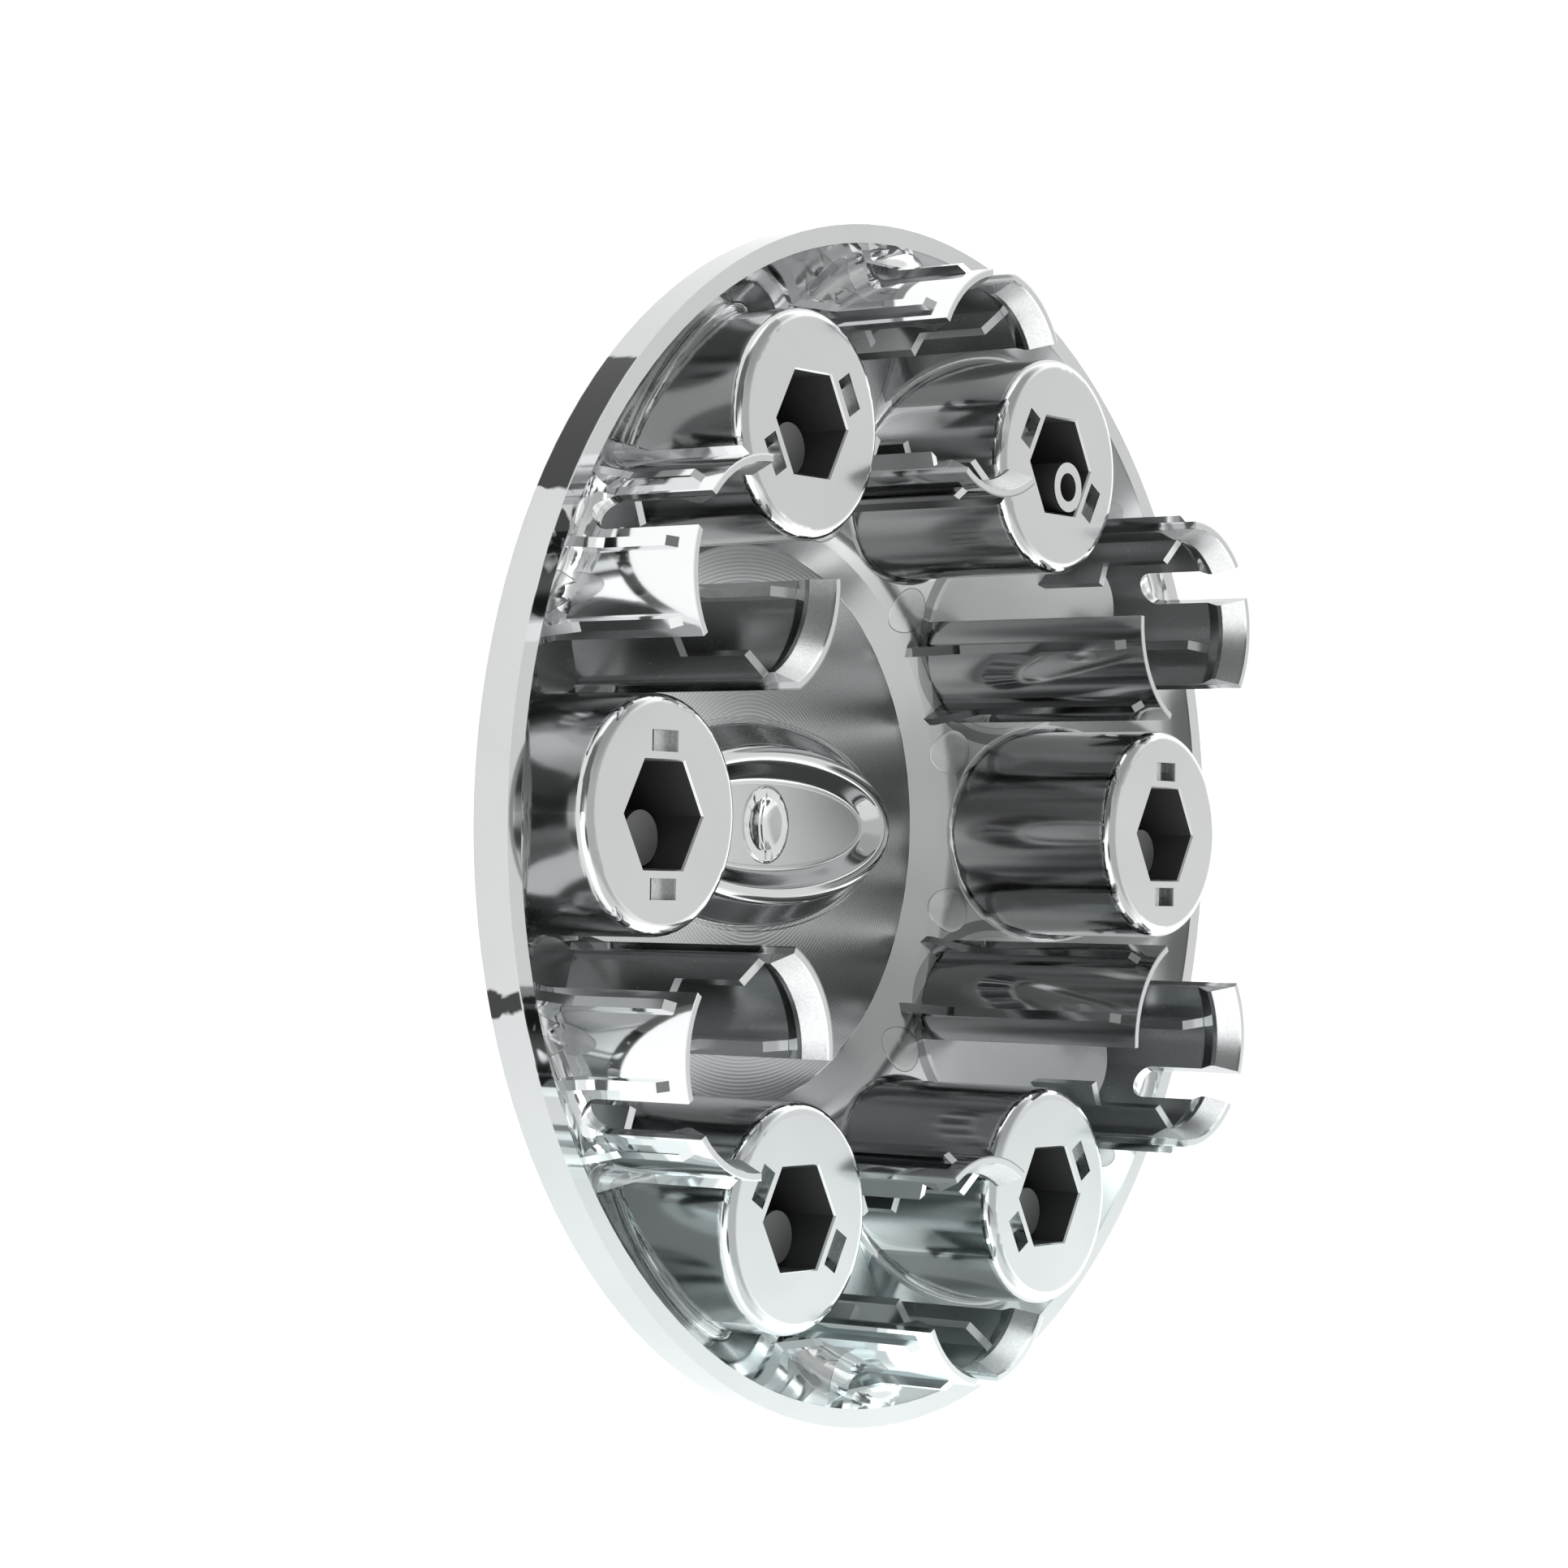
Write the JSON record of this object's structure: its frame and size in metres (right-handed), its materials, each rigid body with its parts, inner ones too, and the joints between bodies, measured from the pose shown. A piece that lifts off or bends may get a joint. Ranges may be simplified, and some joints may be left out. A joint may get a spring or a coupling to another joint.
{
  "type": "center cap",
  "caption": "Round wheel center cap with dummy lug nuts in its face and, behind, spring collets that snap over the lug nuts.",
  "frame": {"origin": "on the cap's axis, in the plane of the rim's back edge", "axes": "+Z to the back, towards the wheel; +X along the oval seat"},
  "size_m": [0.185, 0.185, 0.0496],
  "materials": {
    "chrome_plating": "bright chrome plating on moulded plastic, mirror smooth with faint flow marks",
    "badge": "plain glossy dark plastic, blank"
  },
  "bodies": {
    "root": {"cap_body": "chrome_plating", "emblem_badge": "badge"}
  },
  "joints": []
}
